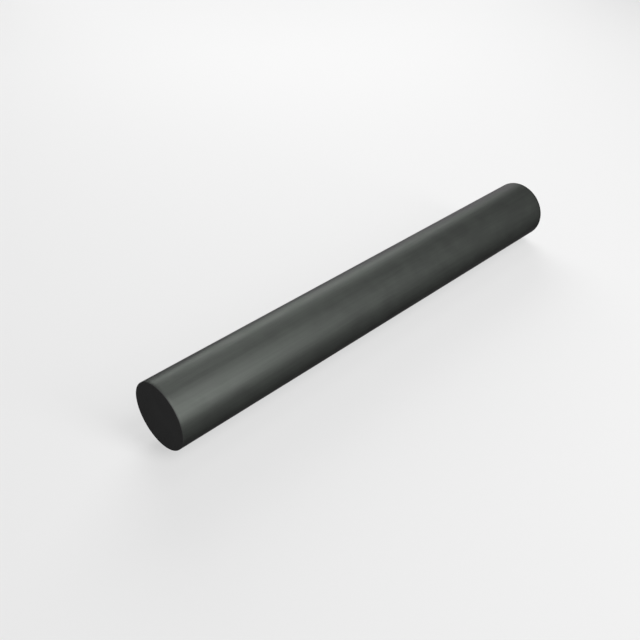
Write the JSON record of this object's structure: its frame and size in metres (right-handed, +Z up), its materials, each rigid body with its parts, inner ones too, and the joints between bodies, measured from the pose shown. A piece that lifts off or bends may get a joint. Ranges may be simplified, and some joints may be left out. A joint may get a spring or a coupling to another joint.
{
  "type": "round metal bar",
  "caption": "Solid round bar of dark hot-rolled steel, sawn square at both ends and lying on its side, as stock for machining, welding and framing.",
  "frame": {"origin": "the middle of the bar, on its axis", "axes": "+X along the bar's axis, +Y level across it, +Z up as the bar lies on a floor"},
  "size_m": [0.404, 0.05, 0.05],
  "materials": {
    "rolled_steel": "satin"
  },
  "bodies": {
    "root": {"round_bar": "rolled_steel"}
  },
  "joints": []
}
